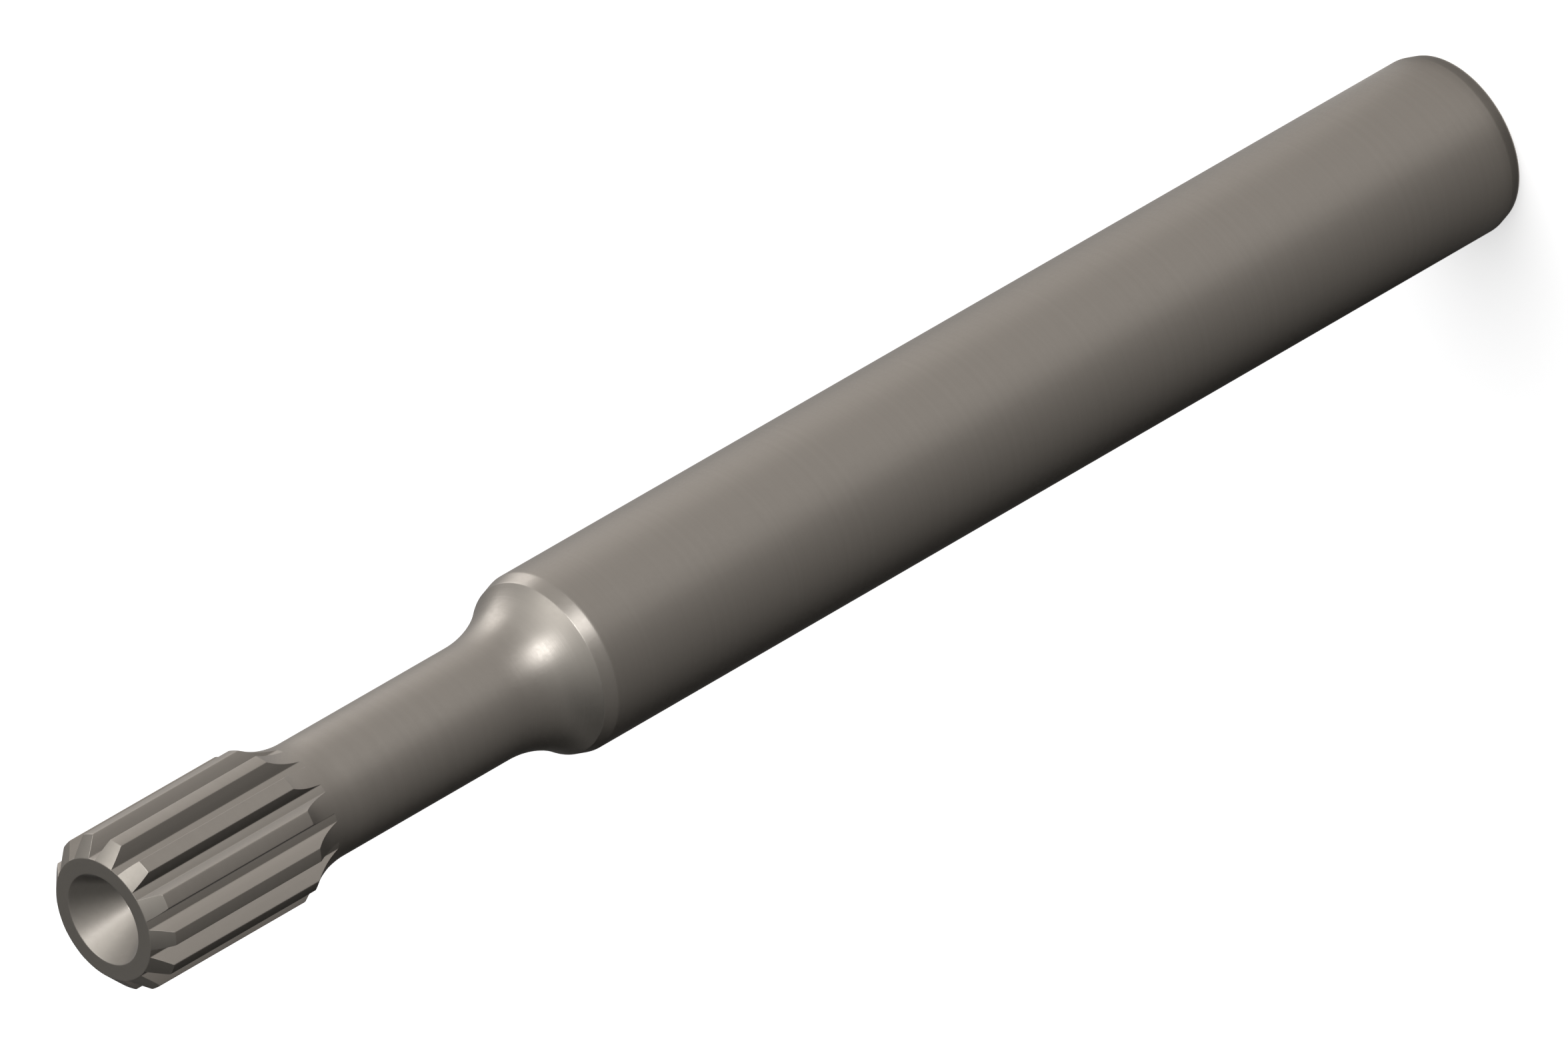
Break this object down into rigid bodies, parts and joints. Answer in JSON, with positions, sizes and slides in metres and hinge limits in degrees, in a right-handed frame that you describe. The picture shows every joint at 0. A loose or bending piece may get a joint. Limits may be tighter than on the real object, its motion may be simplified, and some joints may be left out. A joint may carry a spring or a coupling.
{
  "type": "fuel pump drive shaft",
  "caption": "Stepped steel drive shaft: a long plain journal, a filleted shoulder, a thinner neck and a splined end with a centre hole.",
  "frame": {"origin": "centre of the plain end face, on which the shaft stands", "axes": "+Z along the axis from the plain end to the splined end, +X through the middle of a spline tooth"},
  "size_m": [0.012, 0.012, 0.116],
  "materials": {
    "steel": "satin, turned on the neck and spline and ground on the journal"
  },
  "bodies": {
    "root": {"drive_shaft": "steel"}
  },
  "joints": []
}
